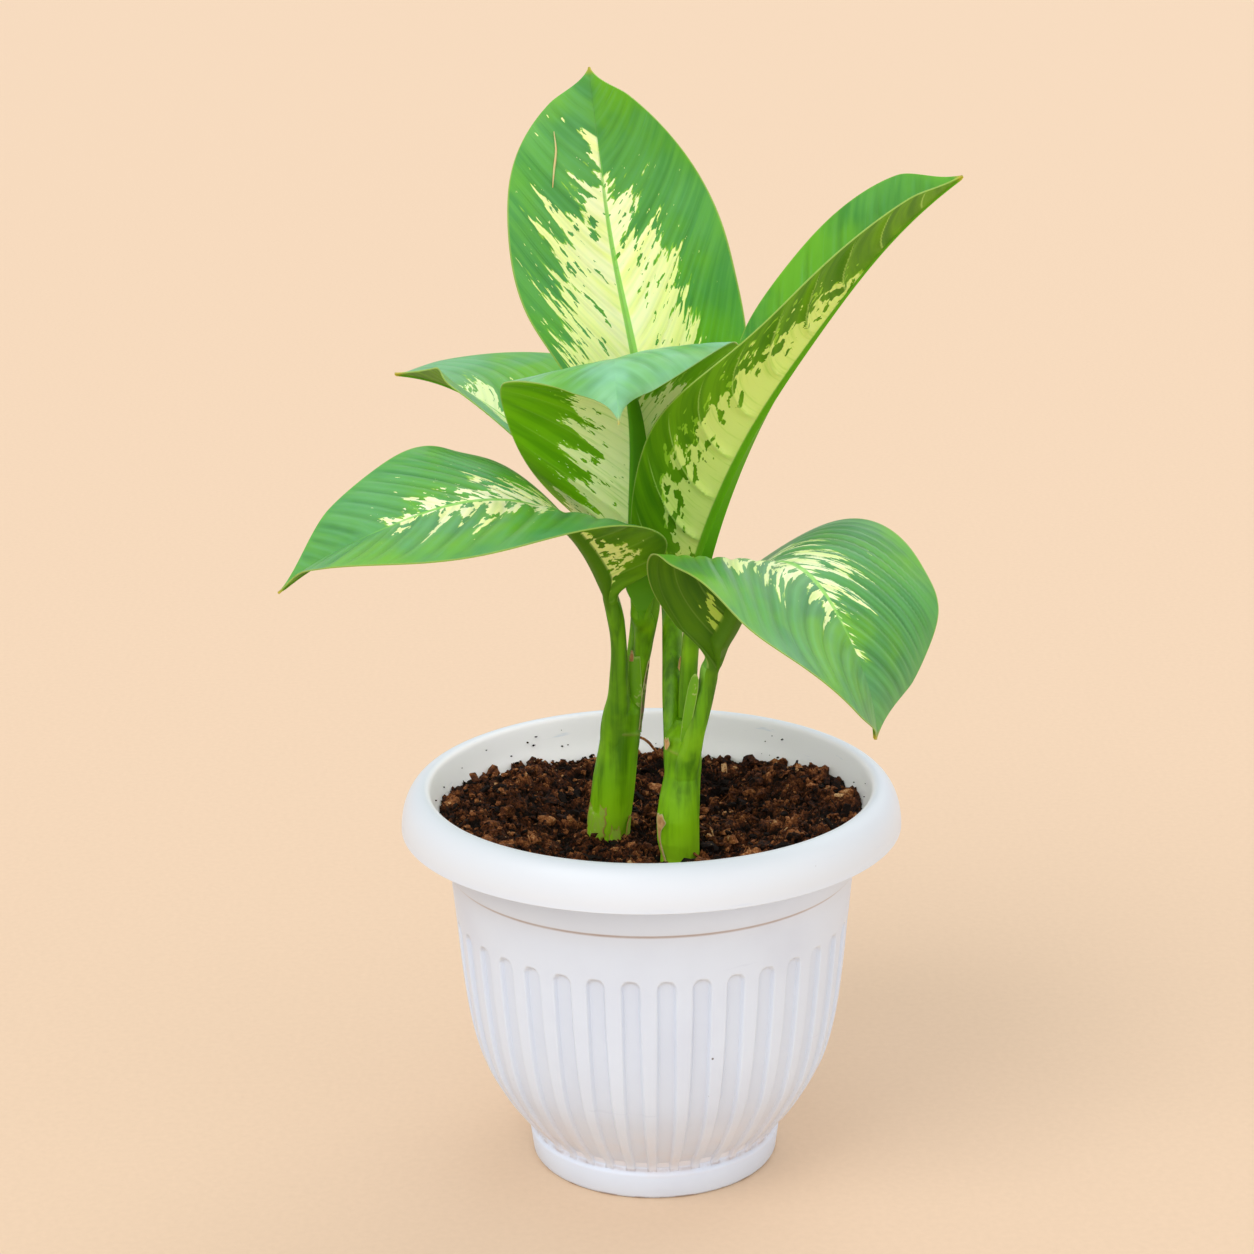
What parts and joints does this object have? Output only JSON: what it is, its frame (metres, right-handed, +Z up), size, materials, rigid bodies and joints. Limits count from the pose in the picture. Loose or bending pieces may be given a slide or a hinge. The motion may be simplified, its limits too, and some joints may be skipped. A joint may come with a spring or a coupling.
{
  "type": "potted plant",
  "caption": "Broad-leaved house plant with upright canes, standing in the soil of a round fluted pot with a rolled rim.",
  "frame": {"origin": "centre of the pot's underside, on the surface that the pot stands on", "axes": "+Z up, -Y towards the front of the plant, +X to the right seen from the front"},
  "size_m": [0.2805, 0.2582, 0.4817],
  "materials": {
    "pot_plastic": "smooth white moulded plastic",
    "soil": "coarse damp potting soil",
    "cane": "smooth waxy green stem",
    "leaf": "waxy green leaf with cream variegation"
  },
  "bodies": {
    "root": {"pot": "pot_plastic", "soil": "soil", "cane_left": "cane", "cane_right": "cane", "leaf_top": "leaf", "leaf_nodding": "leaf", "leaf_folded": "leaf", "leaf_low_left": "leaf", "leaf_low_right": "leaf", "leaf_back": "leaf"}
  },
  "joints": []
}
